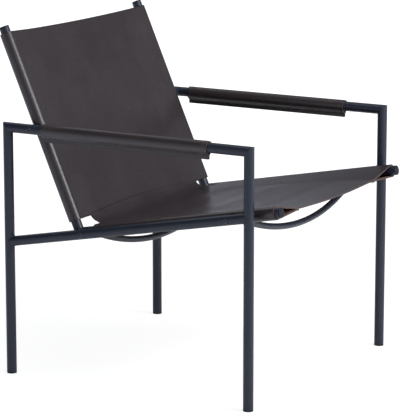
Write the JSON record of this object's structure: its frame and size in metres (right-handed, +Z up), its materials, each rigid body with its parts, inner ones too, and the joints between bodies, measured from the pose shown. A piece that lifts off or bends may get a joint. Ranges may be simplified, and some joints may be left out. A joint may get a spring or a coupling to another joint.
{
  "type": "lounge chair",
  "caption": "Low lounge chair: tubular steel side frames and a reclined tubular cradle that carries saddle leather slings for the seat and back, with leather arm sleeves.",
  "frame": {"origin": "on the floor under the middle of the chair's overall width and depth", "axes": "+Z up, +X to the right as seen from the front, -Y is the front of the seat"},
  "size_m": [0.6508, 0.7012, 0.77],
  "materials": {
    "frame_paint": "satin powder coat, very dark blue-grey",
    "sling_leather": "saddle leather, very dark brown, fine grain, soft sheen",
    "sleeve_leather": "saddle leather, very dark brown, stitched",
    "cap_plastic": "matt black end cap",
    "glide_plastic": "matt black glide",
    "black_steel": "black oxide steel"
  },
  "bodies": {
    "root": {"left_front_leg": "frame_paint", "left_rear_leg": "frame_paint", "left_arm_rail": "frame_paint", "left_seat_rail": "frame_paint", "left_seat_tube": "frame_paint", "left_back_tube": "frame_paint", "left_front_glide": "glide_plastic", "left_rear_glide": "glide_plastic", "left_seat_cap": "cap_plastic", "left_back_cap": "cap_plastic", "left_arm_sleeve": "sleeve_leather", "left_arm_spacer": "frame_paint", "left_arm_bolt": "black_steel", "left_arm_bush": "black_steel", "left_seat_front_spacer": "frame_paint", "left_seat_front_bolt": "black_steel", "left_seat_front_bush": "black_steel", "left_seat_rear_spacer": "frame_paint", "left_seat_rear_bolt": "black_steel", "left_seat_rear_bush": "black_steel", "right_front_leg": "frame_paint", "right_rear_leg": "frame_paint", "right_arm_rail": "frame_paint", "right_seat_rail": "frame_paint", "right_seat_tube": "frame_paint", "right_back_tube": "frame_paint", "right_front_glide": "glide_plastic", "right_rear_glide": "glide_plastic", "right_seat_cap": "cap_plastic", "right_back_cap": "cap_plastic", "right_arm_sleeve": "sleeve_leather", "right_arm_spacer": "frame_paint", "right_arm_bolt": "black_steel", "right_arm_bush": "black_steel", "right_seat_front_spacer": "frame_paint", "right_seat_front_bolt": "black_steel", "right_seat_front_bush": "black_steel", "right_seat_rear_spacer": "frame_paint", "right_seat_rear_bolt": "black_steel", "right_seat_rear_bush": "black_steel", "front_bow": "frame_paint", "rear_bow": "frame_paint", "back_bow": "frame_paint", "seat_sling": "sling_leather", "back_sling": "sling_leather"}
  },
  "joints": []
}
